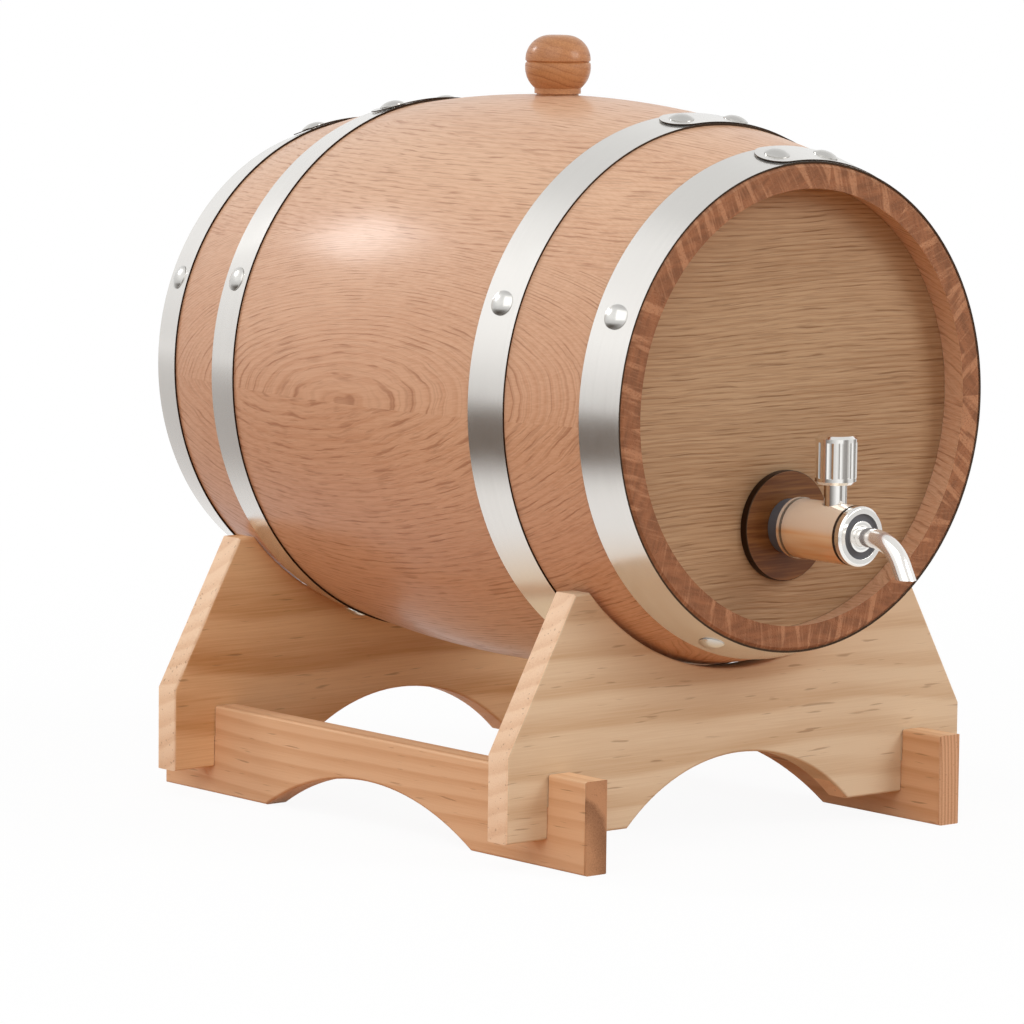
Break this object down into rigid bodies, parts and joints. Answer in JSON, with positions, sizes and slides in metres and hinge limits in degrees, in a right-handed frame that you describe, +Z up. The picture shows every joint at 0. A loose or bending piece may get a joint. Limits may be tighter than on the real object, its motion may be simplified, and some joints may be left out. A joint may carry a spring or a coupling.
{
  "type": "cask drink dispenser",
  "caption": "Small oak cask with steel hoops lying on a half-lapped pine stand, with a bung on top and a quarter-turn tap and bent spout in its head.",
  "frame": {"origin": "on the floor, under the middle of the object's whole box, rear chime to spout tip", "axes": "+Z up, cask axis along Y with the tap towards -Y, +X to the right seen from the tap end"},
  "size_m": [0.1906, 0.2822, 0.2495],
  "materials": {
    "oak_staves": "satin lacquered oak",
    "oak_heads": "satin oak, grain across",
    "hoop_steel": "satin stainless strap",
    "rivet_steel": "polished domes",
    "bung_wood": "turned and oiled hardwood",
    "pine": "planed pine",
    "seal_rubber": "smooth grey rubber",
    "tap_chrome": "mirror polish",
    "tap_plate": "dark brown lacquered plate with faint streaks",
    "tap_steel": "turned steel"
  },
  "bodies": {
    "stand": {"stand_board_front": "pine", "stand_board_rear": "pine", "stand_rail_left": "pine", "stand_rail_right": "pine"},
    "cask": {"stave_01": "oak_staves", "stave_02": "oak_staves", "stave_03": "oak_staves", "stave_04": "oak_staves", "stave_05": "oak_staves", "stave_06": "oak_staves", "stave_07": "oak_staves", "stave_08": "oak_staves", "stave_09": "oak_staves", "stave_10": "oak_staves", "stave_11": "oak_staves", "stave_12": "oak_staves", "head_front": "oak_heads", "head_rear": "oak_heads", "hoop_front_chime": "hoop_steel", "hoop_front_quarter": "hoop_steel", "hoop_rear_quarter": "hoop_steel", "hoop_rear_chime": "hoop_steel", "rivets_front_chime": "rivet_steel", "rivets_front_quarter": "rivet_steel", "rivets_rear_quarter": "rivet_steel", "rivets_rear_chime": "rivet_steel", "tap_escutcheon": "tap_plate", "tap_outer_gasket": "seal_rubber", "tap_inner_gasket": "seal_rubber", "tap_washer": "tap_steel", "tap_lock_nut": "tap_steel", "tap_body": "tap_chrome", "tap_seat_seal": "seal_rubber", "tap_end_cap": "tap_chrome", "tap_spout": "tap_chrome"},
    "bung": {"bung": "bung_wood"},
    "tap_handle": {"tap_valve_rotor": "tap_steel", "tap_o_rings": "seal_rubber", "tap_handle_stem": "tap_chrome", "tap_handle_knob": "tap_chrome"}
  },
  "joints": [
    {"name": "cask_lift", "type": "slide", "parent": "stand", "child": "cask", "axis": [0, 0, 1], "range_m": [0, 0.12]},
    {"name": "bung_lift", "type": "slide", "parent": "cask", "child": "bung", "axis": [0, 0, 1], "range_m": [0, 0.04]},
    {"name": "tap_handle_turn", "type": "hinge", "parent": "cask", "child": "tap_handle", "pos_m": [0, -0.10602, 0.1018], "axis": [0, 1, 0], "range_deg": [0, 90]}
  ]
}
